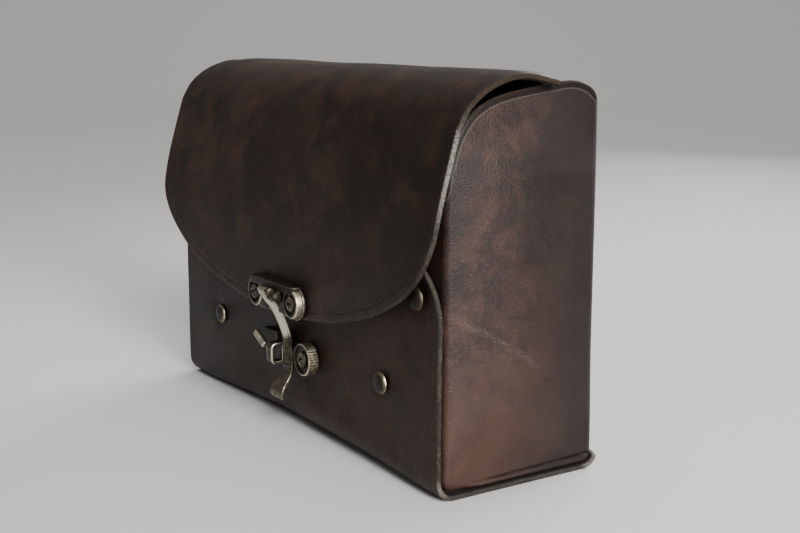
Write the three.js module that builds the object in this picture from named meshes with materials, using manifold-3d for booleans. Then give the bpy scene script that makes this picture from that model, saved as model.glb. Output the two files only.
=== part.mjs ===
// Leather belt bag with a flap and a brass hook clasp.
// Millimetres, +Z up. The front faces -Y and the bag stands on z = 0.
import * as THREE from 'three';
import { mergeVertices } from 'three/addons/utils/BufferGeometryUtils.js';
import Module from 'manifold-3d';

const wasm = await Module();
wasm.setup();

// Leather, and the clearance that pieces keep from each other
const LEATHER = 2.5;
const GAP = 0.3;

// How far a cut runs past the faces it opens
const PAST = 1;

// Body strip: front panel, bottom and back
const HALF_WIDTH = 100;
const DEPTH = 71;
const PANEL_TOP = 82;
const PANEL_CORNER = 23;
const PANEL_DISH = 0.8;
const DISH_HEIGHT = 20;
const FRONT_BEND = 7;
const FRONT_BEND_SWELL = 6;
const STIFF_X = 80;
const BACK_BEND = 7;
const BACK_HALF_WIDTH = 90;
const BACK_TOP = 110;

// Flap: side shoulders, hang and half-ellipse hem
const FLAP_HALF_WIDTH = 106;
const FLAP_SHOULDER_Y = 46.5;
const FLAP_SHOULDER_RUN = 2.5;
const FLAP_FALL_Z = 124.6;
const FLAP_HANG_Y = -5;
const FLAP_HANG_Z = 60;
const FLAP_HANG_POWER = 2.6;
const FLAP_FLARE = 3.4;
const FLAP_FLARE_TOP = 122;
const FLAP_FLARE_LOW = 80;
const HEM_CENTRE_Z = 92;
const HEM_ROUND = 45.5;
const HEM_SKEW = 2.2;

// Outer face of the strip over the top, from the back panel to the flap
const RIDGE = [
  { y: 71, z: 110 },
  { y: 70.2, z: 122 },
  { y: 66.6, z: 130 },
  { y: 61, z: 134.6 },
  { y: 54, z: 137.6 },
  { y: 46, z: 140.6 },
  { y: 39, z: 141.8 },
  { y: 32, z: 142 },
  { y: 23, z: 140.7 },
  { y: 14, z: 137.3 },
  { y: 7, z: 131.8 },
  { y: 2.6, z: FLAP_FALL_Z },
];

// Gussets: side panels with a flange folded in behind the strip
const GUSSET_FACE_X = 99.6;
const GUSSET_BULGE = 1.2;
const FLANGE_END_X = 80.5;
const FLANGE_TOP = 92;
const GUSSET_ROUND_FRONT = 3;
const GUSSET_ROUND_BACK = 4.5;
const GUSSET_ROUND_OPEN = 0.33;
const GUSSET_SPINE_LOW = 40;

// Free top edge of a gusset, from front to back
const GUSSET_TOP = [
  { y: 2.8, z: 104 },
  { y: 4.2, z: 114 },
  { y: 7.5, z: 122.6 },
  { y: 13.5, z: 129.9 },
  { y: 22, z: 134.1 },
  { y: 33.5, z: 136.4 },
  { y: 45, z: 137.8 },
  { y: 54, z: 138.7 },
  { y: 60.2, z: 137.5 },
  { y: 64.3, z: 135 },
  { y: 67.2, z: 130.5 },
  { y: 68.2, z: 118 },
];

// Shares of the radius and of the height of a domed head, from its middle to its rim
const DOME = [
  { out: 0, up: 1 },
  { out: 0.6, up: 0.8 },
  { out: 0.9, up: 0.4 },
  { out: 1, up: 0.1 },
];

// Rivets of the front panel and of the belt loops
const RIVET_RADIUS = 4.5;
const RIVET_DOME = 2;
const RIVET_POST = 1.6;
const RIVET_TAIL = 1.1;
const RIVET_TAIL_RADIUS = 3.8;
const FRONT_RIVETS = [
  { row: 'upper', x: 87.4, z: 68, layers: 2 },
  { row: 'lower', x: 64.7, z: 33.7, layers: 1 },
];

// Upper fitting of the clasp, on the flap
const PLATE_Z = 53.6;
const PLATE_BASE = { halfLength: 21, halfHeight: 6.6, back: -5.4, front: -6.4 };
const HOUSING = { halfLength: 20.2, halfHeight: 5.8, front: -9, bevel: 0.5 };
const HOUSING_RECESS = { radius: 4.2, depth: 1 };
const HOOD = { halfLength: 18.2, low: 57.4, high: 60.2, front: -9.8, bevel: 0.5 };
const ARM_NOTCH_TOP = 52;
const UPPER_SCREW_X = 14.6;
const PIVOT = { y: -10.8, z: 55.2 };
const LUG = { radius: 2.4, inner: 4.8, outer: 7.8, root: 1 };
const PIN_RADIUS = 1.1;
const PIN_HEAD = { radius: 1.3, length: 0.7 };

// Hook arm, with a slot that drops over the stud
const EYE_RADIUS = 2.2;
const EYE_CLEAR = 0.4;
const EYE_FLOOR = 0.6;
const ARM_THICK = 1.5;
const ARM_HALF_WIDTH = 4.2;
const HOOK_STEPS = 30;
const STUD_SLOT = { halfWidth: 2.1, low: 25.6, high: 33.4 };
const HOOK_LINE = [
  { y: PIVOT.y, z: PIVOT.z },
  { y: -9.7, z: 52.8 },
  { y: -7.8, z: 49.9 },
  { y: -6.2, z: 47 },
  { y: -4, z: 41 },
  { y: -2.7, z: 36.2 },
  { y: -2, z: 30.6 },
  { y: -1.9, z: 26.6 },
  { y: -2.4, z: 23.4 },
  { y: -3.9, z: 20.5 },
  { y: -6, z: 18 },
  { y: -7, z: 15.6 },
  { y: -6.3, z: 13.2 },
];

// Lower fitting of the clasp, on the front panel
const STAPLE_Z = 31;
const STAPLE_BACK = 0.3;
const BAR = { halfLength: 13, halfHeight: 4.6, front: -0.7 };
const DRUM = { x: 13.6, flange: 6.6, flangeFront: -0.7, radius: 6.2, front: -3.8 };
const DRUM_RECESS = { radius: 5.1, depth: 0.9 };
const FIN = [
  { x: -24, z: 33.8 },
  { x: -16.6, z: 38.2 },
  { x: -6.4, z: 38.2 },
  { x: -6.4, z: 34.6 },
  { x: -15.8, z: 29.4 },
];
const FIN_FRONT = -4.4;
const FIN_BEVEL = 1;
const STUD = { halfWidth: 1.6, low: 27.4, high: 31.4, front: -3.8 };
const KEEPER = { x: -7.4, halfWidth: 2.2, low: 25, high: 33.8, front: -6.8, wall: 1.3, round: 2 };

// Cross-head screws with their nuts
const SCREW_HEAD = { radius: 3.1, height: 1.5 };
const SCREW_SHANK = 1.5;
const SCREW_CROSS = { length: 3.8, width: 0.8, depth: 0.9 };
const NUT = { radius: 3, height: 1 };

// Belt loops on the back
const LOOP_X = 48;
const LOOP_WIDTH = 28;
const LOOP_TOP = 108;
const LOOP_FOOT = 15;
const LOOP_RISE = 9;
const LOOP_CHANNEL = 42;
const LOOP_CLEAR = 6.5;
const LOOP_STEPS = 26;

const SPINE_Y = DEPTH / 2;
const ROUND_SIDES = 12;

const leatherBrown = new THREE.MeshStandardMaterial({ color: 0x3a2420, roughness: 0.55, metalness: 0 });
const antiqueBrass = new THREE.MeshStandardMaterial({ color: 0x8a7a58, roughness: 0.35, metalness: 1 });

const bag = new THREE.Group();
bag.name = 'belt_bag';

// Solids

// Shared corners, no empty triangles, faces pointing out
function closed(geometry) {
  const bare = new THREE.BufferGeometry();
  bare.setAttribute('position', geometry.getAttribute('position'));
  bare.setIndex(geometry.getIndex());
  const merged = mergeVertices(bare, 1e-4);
  const position = merged.getAttribute('position');
  const index = merged.getIndex().array;
  const kept = [];
  let volume = 0;
  const corners = [new THREE.Vector3(), new THREE.Vector3(), new THREE.Vector3()];
  for (let t = 0; t < index.length; t += 3) {
    const triangle = [index[t], index[t + 1], index[t + 2]];
    if (new Set(triangle).size < 3) continue;
    kept.push(triangle);
    corners.forEach((corner, n) => corner.fromBufferAttribute(position, triangle[n]));
    volume += corners[0].dot(corners[1].clone().cross(corners[2]));
  }
  const facing = volume < 0 ? kept.map(([a, b, c]) => [a, c, b]) : kept;
  merged.setIndex(facing.flat());
  return merged;
}

function solid(geometry) {
  const shape = closed(geometry);
  const vertProperties = new Float32Array(shape.getAttribute('position').array);
  const triVerts = new Uint32Array(shape.getIndex().array);
  return new wasm.Manifold(new wasm.Mesh({ numProp: 3, vertProperties, triVerts }));
}

function join(geometries) {
  return geometries.map(solid).reduce((whole, next) => whole.add(next));
}

function cut(whole, geometries) {
  return geometries.map(solid).reduce((rest, tool) => rest.subtract(tool), whole);
}

function addPiece(name, whole, material) {
  const mesh = whole.getMesh();
  const geometry = new THREE.BufferGeometry();
  geometry.setAttribute('position', new THREE.BufferAttribute(mesh.vertProperties, 3));
  geometry.setIndex(Array.from(mesh.triVerts));
  geometry.computeVertexNormals();
  const piece = new THREE.Mesh(geometry, material);
  piece.name = name;
  bag.add(piece);
}

// A wall between two grids of points, closed along the edges that are named
function wall(rows, columns, outerAt, innerAt, edges) {
  const points = [];
  for (const at of [outerAt, innerAt]) {
    for (let i = 0; i < rows; i++) {
      for (let j = 0; j < columns; j++) points.push(...at(i, j));
    }
  }
  const outer = (i, j) => i * columns + j;
  const inner = (i, j) => rows * columns + i * columns + j;
  const index = [];
  const quad = (a, b, c, d) => index.push(a, b, c, a, c, d);
  for (let i = 0; i + 1 < rows; i++) {
    for (let j = 0; j + 1 < columns; j++) {
      quad(outer(i, j), outer(i, j + 1), outer(i + 1, j + 1), outer(i + 1, j));
      quad(inner(i, j), inner(i + 1, j), inner(i + 1, j + 1), inner(i, j + 1));
    }
  }
  const rim = (list) => {
    for (let n = 0; n + 1 < list.length; n++) {
      const [i, j] = list[n];
      const [k, l] = list[n + 1];
      quad(outer(i, j), outer(k, l), inner(k, l), inner(i, j));
    }
  };
  const across = [...Array(columns).keys()];
  const along = [...Array(rows).keys()];
  if (edges.includes('first row')) rim(across.map((j) => [0, j]).reverse());
  if (edges.includes('last row')) rim(across.map((j) => [rows - 1, j]));
  if (edges.includes('first column')) rim(along.map((i) => [i, 0]));
  if (edges.includes('last column')) rim(along.map((i) => [i, columns - 1]).reverse());
  const geometry = new THREE.BufferGeometry();
  geometry.setAttribute('position', new THREE.Float32BufferAttribute(points, 3));
  geometry.setIndex(index);
  return geometry;
}

// A flat outline in x and z, pushed towards the front from one y to another
function slab(shape, back, front, bevel = 0) {
  const geometry = new THREE.ExtrudeGeometry(shape, {
    depth: back - front - 2 * bevel,
    bevelEnabled: bevel > 0,
    bevelThickness: bevel,
    bevelSize: bevel,
    bevelOffset: -bevel,
    bevelSegments: 1,
    curveSegments: 8,
  });
  geometry.rotateX(Math.PI / 2);
  geometry.translate(0, back - bevel, 0);
  return geometry;
}

// An outline in y and z, pushed across x about the middle
function profileSlab(shape, halfWidth, x = 0) {
  const geometry = new THREE.ExtrudeGeometry(shape, {
    depth: 2 * halfWidth,
    bevelEnabled: false,
    curveSegments: 12,
  });
  const turn = new THREE.Matrix4().makeBasis(
    new THREE.Vector3(0, 1, 0),
    new THREE.Vector3(0, 0, 1),
    new THREE.Vector3(1, 0, 0),
  );
  geometry.applyMatrix4(turn);
  geometry.translate(x - halfWidth, 0, 0);
  return geometry;
}

function box(x0, x1, y0, y1, z0, z1) {
  const geometry = new THREE.BoxGeometry(x1 - x0, y1 - y0, z1 - z0);
  geometry.translate((x0 + x1) / 2, (y0 + y1) / 2, (z0 + z1) / 2);
  return geometry;
}

// A round bar along y
function barAlongY(x, z, radius, back, front) {
  const geometry = new THREE.CylinderGeometry(radius, radius, back - front, ROUND_SIDES);
  geometry.translate(x, (back + front) / 2, z);
  return geometry;
}

// A round bar along x
function barAlongX(y, z, radius, left, right) {
  const geometry = new THREE.CylinderGeometry(radius, radius, right - left, ROUND_SIDES);
  geometry.rotateZ(Math.PI / 2);
  geometry.translate((left + right) / 2, y, z);
  return geometry;
}

function stadium(halfLength, halfHeight, z) {
  const straight = halfLength - halfHeight;
  const shape = new THREE.Shape();
  shape.moveTo(-straight, z - halfHeight);
  shape.lineTo(straight, z - halfHeight);
  shape.absarc(straight, z, halfHeight, -Math.PI / 2, Math.PI / 2, false);
  shape.lineTo(-straight, z + halfHeight);
  shape.absarc(-straight, z, halfHeight, Math.PI / 2, 1.5 * Math.PI, false);
  return shape;
}

// A strip of even thickness along a smooth line in y and z
function bandShape(line, thickness, steps) {
  const curve = new THREE.SplineCurve(line.map(({ y, z }) => new THREE.Vector2(y, z)));
  const left = [];
  const right = [];
  for (let n = 0; n <= steps; n++) {
    const point = curve.getPointAt(n / steps);
    const along = curve.getTangentAt(n / steps);
    const side = new THREE.Vector2(-along.y, along.x).multiplyScalar(thickness / 2);
    left.push(point.clone().add(side));
    right.push(point.clone().sub(side));
  }
  return new THREE.Shape([...left, ...right.reverse()]);
}

// Body strip

function smooth(t) {
  const s = THREE.MathUtils.clamp(t, 0, 1);
  return s * s * (3 - 2 * s);
}

// How much of the slack in the middle of the front is there at x
function slack(x) {
  return Math.max(0, 1 - (x / STIFF_X) ** 2);
}

function dish(x, z) {
  return PANEL_DISH * slack(x) ** 1.5 * smooth(z / DISH_HEIGHT);
}

function frontBendRadius(x) {
  return FRONT_BEND + FRONT_BEND_SWELL * slack(x);
}

function panelTop(x) {
  const into = Math.max(0, Math.abs(x) - (HALF_WIDTH - PANEL_CORNER));
  return PANEL_TOP - PANEL_CORNER + Math.sqrt(Math.max(0, PANEL_CORNER ** 2 - into ** 2));
}

function hem(x) {
  const across = x / FLAP_HALF_WIDTH;
  return HEM_CENTRE_Z - HEM_ROUND * Math.sqrt(Math.max(0, 1 - across ** 2)) + HEM_SKEW * across;
}

function flapY(x, z) {
  const fall = Math.max(0, z - FLAP_HANG_Z) / (FLAP_FALL_Z - FLAP_HANG_Z);
  const ridgeEnd = RIDGE[RIDGE.length - 1].y;
  const hang = FLAP_HANG_Y + (ridgeEnd - FLAP_HANG_Y) * fall ** FLAP_HANG_POWER;
  const flare = smooth((FLAP_FLARE_TOP - z) / (FLAP_FLARE_TOP - FLAP_FLARE_LOW));
  return hang - FLAP_FLARE * (x / FLAP_HALF_WIDTH) ** 2 * flare;
}

const ridge = new THREE.SplineCurve(RIDGE.map(({ y, z }) => new THREE.Vector2(y, z)));
const ridgeLength = ridge.getLength();

// Share of a front-to-back or back-to-front curve where it crosses y
function shareAt(curve, y) {
  const falling = curve.getPointAt(0).x > curve.getPointAt(1).x;
  let low = 0;
  let high = 1;
  for (let n = 0; n < 40; n++) {
    const middle = (low + high) / 2;
    const before = falling ? curve.getPointAt(middle).x > y : curve.getPointAt(middle).x < y;
    if (before) low = middle;
    else high = middle;
  }
  return (low + high) / 2;
}

const shoulderStart = shareAt(ridge, FLAP_SHOULDER_Y);
const shoulderEnd = shoulderStart + FLAP_SHOULDER_RUN / ridgeLength;

function ridgePoint(share) {
  const point = ridge.getPointAt(THREE.MathUtils.clamp(share, 0, 1));
  return [point.x, point.y];
}

// The strip in order, from the top of the front panel round to the hem of the flap.
// Each stretch gives its outer face as y and z at x, and its half width, by its share f.
const STRETCHES = [
  {
    rows: 6,
    at: (x, f) => {
      const z = THREE.MathUtils.lerp(panelTop(x), frontBendRadius(x), f);
      return [dish(x, z), z];
    },
    halfWidth: () => HALF_WIDTH,
  },
  {
    rows: 4,
    at: (x, f) => {
      const radius = frontBendRadius(x);
      const z = radius * (1 - Math.sin(f * Math.PI / 2));
      return [radius * (1 - Math.cos(f * Math.PI / 2)) + dish(x, z), z];
    },
    halfWidth: () => HALF_WIDTH,
  },
  {
    rows: 2,
    at: (x, f) => [THREE.MathUtils.lerp(frontBendRadius(x), DEPTH - BACK_BEND, f), 0],
    halfWidth: () => HALF_WIDTH,
  },
  {
    rows: 4,
    at: (x, f) => [
      DEPTH - BACK_BEND * (1 - Math.sin(f * Math.PI / 2)),
      BACK_BEND * (1 - Math.cos(f * Math.PI / 2)),
    ],
    halfWidth: (f) => THREE.MathUtils.lerp(HALF_WIDTH, BACK_HALF_WIDTH, smooth(f)),
  },
  {
    rows: 3,
    at: (x, f) => [DEPTH, THREE.MathUtils.lerp(BACK_BEND, BACK_TOP, f)],
    halfWidth: () => BACK_HALF_WIDTH,
  },
  {
    rows: 7,
    at: (x, f) => ridgePoint(f * shoulderStart),
    halfWidth: () => BACK_HALF_WIDTH,
  },
  {
    rows: 1,
    at: (x, f) => ridgePoint(THREE.MathUtils.lerp(shoulderStart, shoulderEnd, f)),
    halfWidth: (f) => THREE.MathUtils.lerp(BACK_HALF_WIDTH, FLAP_HALF_WIDTH, f),
  },
  {
    rows: 9,
    at: (x, f) => ridgePoint(THREE.MathUtils.lerp(shoulderEnd, 1, f)),
    halfWidth: () => FLAP_HALF_WIDTH,
  },
  {
    rows: 9,
    at: (x, f) => {
      const z = THREE.MathUtils.lerp(FLAP_FALL_Z, hem(x), f);
      return [flapY(x, z), z];
    },
    halfWidth: () => FLAP_HALF_WIDTH,
  },
];

const stripRows = STRETCHES.flatMap((stretch, s) => {
  const shares = [...Array(stretch.rows + 1).keys()].map((n) => n / stretch.rows);
  return shares.slice(s === 0 ? 0 : 1).map((f) => ({ stretch, f }));
});
const STRIP_COLUMNS = 21;

function stripPoint(row, column, depth) {
  const { stretch, f } = stripRows[row];
  const lean = Math.PI * (column / (STRIP_COLUMNS - 1) - 0.5);
  const x = stretch.halfWidth(f) * Math.sin(lean);
  const step = 0.02;
  const before = stretch.at(x, Math.max(0, f - step));
  const after = stretch.at(x, Math.min(1, f + step));
  const along = new THREE.Vector2(after[0] - before[0], after[1] - before[1]).normalize();
  const [y, z] = stretch.at(x, f);
  return [x, y - depth * along.y, z + depth * along.x];
}

function makeBodyWrap() {
  const outer = (i, j) => stripPoint(i, j, 0);
  const inner = (i, j) => stripPoint(i, j, LEATHER);
  const edges = ['first row', 'last row', 'first column', 'last column'];
  return solid(wall(stripRows.length, STRIP_COLUMNS, outer, inner, edges));
}

// Gussets

const gussetTop = new THREE.SplineCurve(GUSSET_TOP.map(({ y, z }) => new THREE.Vector2(y, z)));
const FLANGE_IN = LEATHER + GAP;
const GUSSET_BACK = DEPTH - FLANGE_IN;
const CORNER = FRONT_BEND - FLANGE_IN;

function gussetTopAt(y) {
  return gussetTop.getPointAt(shareAt(gussetTop, y)).y;
}

// Stations down the front, round the bottom and up the back.
// Each has its place on the outline, the way in from there, and how far up its side it is.
const SIDE_STEPS = 9;
const CORNER_STEPS = 3;
const BOTTOM_STEPS = 5;

function gussetStations() {
  const stations = [];
  for (let n = SIDE_STEPS; n >= 1; n--) {
    stations.push({ side: 'front', up: n / SIDE_STEPS, y: FLANGE_IN, inward: [1, 0] });
  }
  for (let n = 0; n <= CORNER_STEPS; n++) {
    const turn = (n / CORNER_STEPS) * (Math.PI / 2);
    const inward = [Math.cos(turn), Math.sin(turn)];
    const y = FRONT_BEND - CORNER * inward[0];
    stations.push({ side: 'base', y, z: FRONT_BEND - CORNER * inward[1], inward });
  }
  for (let n = 1; n < BOTTOM_STEPS; n++) {
    const y = THREE.MathUtils.lerp(FRONT_BEND, DEPTH - BACK_BEND, n / BOTTOM_STEPS);
    stations.push({ side: 'base', y, z: FLANGE_IN, inward: [0, 1] });
  }
  for (let n = 0; n <= CORNER_STEPS; n++) {
    const turn = (1 - n / CORNER_STEPS) * (Math.PI / 2);
    const inward = [-Math.cos(turn), Math.sin(turn)];
    const y = DEPTH - BACK_BEND - CORNER * inward[0];
    stations.push({ side: 'base', y, z: BACK_BEND - CORNER * inward[1], inward });
  }
  for (let n = 1; n <= SIDE_STEPS; n++) {
    stations.push({ side: 'back', up: n / SIDE_STEPS, y: GUSSET_BACK, inward: [-1, 0] });
  }
  return stations;
}

// Rings from the end of the flange, over the rounded fold and across the face to the spine
const FOLD_STEPS = 4;
const FACE_STEPS = 3;
const GUSSET_RINGS = 2 + FOLD_STEPS + FACE_STEPS;

function foldRadius(station) {
  const opened = station.side === 'back' ? smooth(station.up / GUSSET_ROUND_OPEN) : 0;
  return THREE.MathUtils.lerp(GUSSET_ROUND_FRONT, GUSSET_ROUND_BACK, opened);
}

function gussetPoint(station, ring, depth) {
  const radius = foldRadius(station);
  const fold = THREE.MathUtils.clamp((ring - 1) / FOLD_STEPS, 0, 1) * (Math.PI / 2);
  const bend = radius - depth;
  const face = Math.max(0, ring - 1 - FOLD_STEPS) / FACE_STEPS;
  const inset = radius - bend * Math.cos(fold);
  const outlineZ = station.z ?? BACK_BEND;
  let y = station.y + station.inward[0] * inset;
  let z = outlineZ + station.inward[1] * inset;
  y = THREE.MathUtils.lerp(y, SPINE_Y, face);
  z = THREE.MathUtils.lerp(z, GUSSET_SPINE_LOW, face);
  if (station.up !== undefined) {
    const edgeY = face > 0 ? y : station.y + station.inward[0] * (radius - radius * Math.cos(fold));
    const top = ring === 0 ? FLANGE_TOP : gussetTopAt(edgeY);
    z = THREE.MathUtils.lerp(z, top, station.up);
  }
  const across = THREE.MathUtils.clamp((y - FLANGE_IN) / (GUSSET_BACK - FLANGE_IN), 0, 1);
  const upward = THREE.MathUtils.clamp(z / BACK_TOP, 0, 1);
  const bulge = GUSSET_BULGE * 4 * across * (1 - across) * Math.sin(Math.PI * upward);
  const x = ring === 0 ? FLANGE_END_X : GUSSET_FACE_X - radius + bend * Math.sin(fold) + Math.max(0, bulge);
  return [x, y, z];
}

function makeGusset(sign) {
  const stations = gussetStations();
  const face = (depth) => (i, j) => {
    const [x, y, z] = gussetPoint(stations[i], j, depth);
    return [sign * x, y, z];
  };
  const outer = face(0);
  const inner = face(LEATHER);
  const edges = ['first row', 'last row', 'first column'];
  return solid(wall(stations.length, GUSSET_RINGS, outer, inner, edges));
}

// Rivets and screws, turned about y with the head to the front

function turned(profile) {
  return new THREE.LatheGeometry(profile.map(([r, y]) => new THREE.Vector2(r, y)), ROUND_SIDES);
}

// A cap, a post through the layers and a flat tail behind them
function makeRivet(stack) {
  const tailFront = stack + GAP;
  const profile = [
    ...DOME.map(({ out, up }) => [out * RIVET_RADIUS, -GAP - up * RIVET_DOME]),
    [RIVET_RADIUS, -GAP],
    [RIVET_POST, -GAP],
    [RIVET_POST, tailFront],
    [RIVET_TAIL_RADIUS, tailFront],
    [RIVET_TAIL_RADIUS, tailFront + RIVET_TAIL],
    [0, tailFront + RIVET_TAIL],
  ];
  return turned(profile);
}

// A domed head with a cross recess, a shank and a round nut, from the seat of the head to the nut
function makeScrew(x, z, seat, nutFront) {
  const profile = [
    ...DOME.map(({ out, up }) => [out * SCREW_HEAD.radius, seat - up * SCREW_HEAD.height]),
    [SCREW_HEAD.radius, seat],
    [SCREW_SHANK, seat],
    [SCREW_SHANK, nutFront],
    [NUT.radius, nutFront],
    [NUT.radius, nutFront + NUT.height],
    [0, nutFront + NUT.height],
  ];
  const body = turned(profile);
  body.translate(x, 0, z);
  const reach = SCREW_CROSS.length / 2;
  const half = SCREW_CROSS.width / 2;
  const front = seat - 2 * SCREW_HEAD.height;
  const floor = seat - SCREW_HEAD.height + SCREW_CROSS.depth;
  const crossways = box(x - reach, x + reach, front, floor, z - half, z + half);
  const upright = box(x - half, x + half, front, floor, z - reach, z + reach);
  return cut(solid(body), [crossways, upright]);
}

// Clasp

function makeClaspPlate() {
  const base = slab(stadium(PLATE_BASE.halfLength, PLATE_BASE.halfHeight, PLATE_Z), PLATE_BASE.back,
    PLATE_BASE.front);
  const housing = slab(stadium(HOUSING.halfLength, HOUSING.halfHeight, PLATE_Z), PLATE_BASE.back,
    HOUSING.front, HOUSING.bevel);
  const hoodShape = stadium(HOOD.halfLength, (HOOD.high - HOOD.low) / 2, (HOOD.high + HOOD.low) / 2);
  const hood = slab(hoodShape, PLATE_BASE.back, HOOD.front, HOOD.bevel);
  const lugs = [-1, 1].flatMap((side) => {
    const ends = [side * LUG.inner, side * LUG.outer].sort((a, b) => a - b);
    return [
      barAlongX(PIVOT.y, PIVOT.z, LUG.radius, ...ends),
      box(...ends, PIVOT.y, HOUSING.front + LUG.root, PIVOT.z - LUG.radius, HOOD.low + HOOD.bevel),
    ];
  });
  const slotLow = PLATE_Z - 2 * HOUSING.halfHeight;
  const slotBack = PLATE_BASE.front - EYE_FLOOR;
  const eyeSlot = box(-LUG.inner, LUG.inner, HOUSING.front - PAST, slotBack, slotLow, HOOD.low);
  const notchBack = PLATE_BASE.back + PAST;
  const armNotch = box(-LUG.inner, LUG.inner, HOUSING.front - PAST, notchBack, slotLow, ARM_NOTCH_TOP);
  const eyeRoom = barAlongX(PIVOT.y, PIVOT.z, EYE_RADIUS + EYE_CLEAR, -LUG.inner, LUG.inner);
  const pinHole = barAlongX(PIVOT.y, PIVOT.z, PIN_RADIUS + GAP, -LUG.outer - PAST, LUG.outer + PAST);
  const screwCuts = [-1, 1].flatMap((side) => {
    const x = side * UPPER_SCREW_X;
    const floor = HOUSING.front + HOUSING_RECESS.depth;
    return [
      barAlongY(x, PLATE_Z, HOUSING_RECESS.radius, floor, HOUSING.front - PAST),
      barAlongY(x, PLATE_Z, SCREW_SHANK + GAP, PLATE_BASE.back + PAST, HOUSING.front - PAST),
    ];
  });
  return cut(join([base, housing, hood, ...lugs]), [eyeSlot, eyeRoom, armNotch, pinHole, ...screwCuts]);
}

function makeClaspPin() {
  const reach = LUG.outer + GAP;
  const profile = [
    ...DOME.map(({ out, up }) => [out * PIN_HEAD.radius, -reach - up * PIN_HEAD.length]),
    [PIN_RADIUS, -reach],
    [PIN_RADIUS, reach],
    ...DOME.map(({ out, up }) => [out * PIN_HEAD.radius, reach + up * PIN_HEAD.length]).reverse(),
  ];
  const pin = turned(profile);
  pin.rotateZ(Math.PI / 2);
  pin.translate(0, PIVOT.y, PIVOT.z);
  return solid(pin);
}

function makeClaspHook() {
  const arm = profileSlab(bandShape(HOOK_LINE, ARM_THICK, HOOK_STEPS), ARM_HALF_WIDTH);
  const eye = barAlongX(PIVOT.y, PIVOT.z, EYE_RADIUS, -ARM_HALF_WIDTH, ARM_HALF_WIDTH);
  const reach = ARM_HALF_WIDTH + PAST;
  const pinHole = barAlongX(PIVOT.y, PIVOT.z, PIN_RADIUS + GAP, -reach, reach);
  const { halfWidth, low, high } = STUD_SLOT;
  const slot = box(-halfWidth, halfWidth, PIVOT.y, STAPLE_BACK, low, high);
  return cut(join([arm, eye]), [pinHole, slot]);
}

function makeStaplePlate() {
  const bar = slab(stadium(BAR.halfLength, BAR.halfHeight, STAPLE_Z), STAPLE_BACK, BAR.front);
  const flange = barAlongY(DRUM.x, STAPLE_Z, DRUM.flange, STAPLE_BACK, DRUM.flangeFront);
  const drum = barAlongY(DRUM.x, STAPLE_Z, DRUM.radius, STAPLE_BACK, DRUM.front);
  const finShape = new THREE.Shape(FIN.map(({ x, z }) => new THREE.Vector2(x, z)));
  const fin = slab(finShape, STAPLE_BACK, FIN_FRONT, FIN_BEVEL);
  const foot = (BAR.front + STAPLE_BACK) / 2;
  const stud = box(-STUD.halfWidth, STUD.halfWidth, STUD.front, foot, STUD.low, STUD.high);
  const keeper = profileSlab(keeperShape(), KEEPER.halfWidth, KEEPER.x);
  const recessFloor = DRUM.front + DRUM_RECESS.depth;
  const recess = barAlongY(DRUM.x, STAPLE_Z, DRUM_RECESS.radius, recessFloor, DRUM.front - PAST);
  const screwHole = barAlongY(DRUM.x, STAPLE_Z, SCREW_SHANK + GAP, STAPLE_BACK + PAST, DRUM.front - PAST);
  return cut(join([bar, flange, drum, fin, stud, keeper]), [recess, screwHole]);
}

// A strip bent into a flat loop that stands out from the bar
function keeperShape() {
  const { low, high, front, wall: strip, round } = KEEPER;
  const loop = (path, foot, inset) => {
    const corner = round - inset;
    path.moveTo(foot, low + inset);
    path.lineTo(foot, high - inset);
    path.lineTo(front + round, high - inset);
    path.absarc(front + round, high - round, corner, Math.PI / 2, Math.PI, false);
    path.absarc(front + round, low + round, corner, Math.PI, 1.5 * Math.PI, false);
    path.closePath();
    return path;
  };
  const shape = loop(new THREE.Shape(), (BAR.front + STAPLE_BACK) / 2, 0);
  shape.holes.push(loop(new THREE.Path(), BAR.front - strip, strip));
  return shape;
}

// Belt loops

const LOOP_LIE = DEPTH + GAP + LEATHER / 2;
const LOOP_STAND = DEPTH + LOOP_CLEAR + LEATHER / 2;
const LOOP_LOW = LOOP_TOP - 2 * LOOP_FOOT - 2 * LOOP_RISE - LOOP_CHANNEL;

function loopShape() {
  const upper = [
    [LOOP_LIE, LOOP_TOP],
    [LOOP_LIE, LOOP_TOP - 0.5 * LOOP_FOOT],
    [LOOP_LIE, LOOP_TOP - LOOP_FOOT],
    [(LOOP_LIE + LOOP_STAND) / 2, LOOP_TOP - LOOP_FOOT - LOOP_RISE / 2],
    [LOOP_STAND, LOOP_TOP - LOOP_FOOT - LOOP_RISE],
    [LOOP_STAND, (LOOP_TOP + LOOP_LOW) / 2 + LOOP_CHANNEL / 4],
  ];
  const lower = upper.map(([y, z]) => [y, LOOP_TOP + LOOP_LOW - z]).reverse();
  const line = [...upper, ...lower].map(([y, z]) => ({ y, z }));
  return bandShape(line, LEATHER, LOOP_STEPS);
}

const loopRivetHeights = [LOOP_TOP - LOOP_FOOT / 2, LOOP_LOW + LOOP_FOOT / 2];
const loopRivetReach = 2 * LEATHER + GAP;

// Assembly

const sides = [
  { side: 'left', sign: -1 },
  { side: 'right', sign: 1 },
];

function punch(x, z, radius, back, front) {
  return barAlongY(x, z, radius + GAP, back, front);
}

const rivetHoles = FRONT_RIVETS.flatMap(({ x, z }) => sides.map(({ sign }) => (
  punch(sign * x, z, RIVET_POST, 3 * LEATHER, -PAST)
)));
const upperScrewHoles = sides.map(({ sign }) => (
  punch(sign * UPPER_SCREW_X, PLATE_Z, SCREW_SHANK, FLAP_HANG_Y + LEATHER + PAST, FLAP_HANG_Y - PAST)
));
const lowerScrewHole = punch(DRUM.x, STAPLE_Z, SCREW_SHANK, PANEL_DISH + LEATHER + PAST, -PAST);
const loopHoles = sides.flatMap(({ sign }) => loopRivetHeights.map((z) => (
  punch(sign * LOOP_X, z, RIVET_POST, DEPTH + 2 * LEATHER, DEPTH - 2 * LEATHER)
)));

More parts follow.
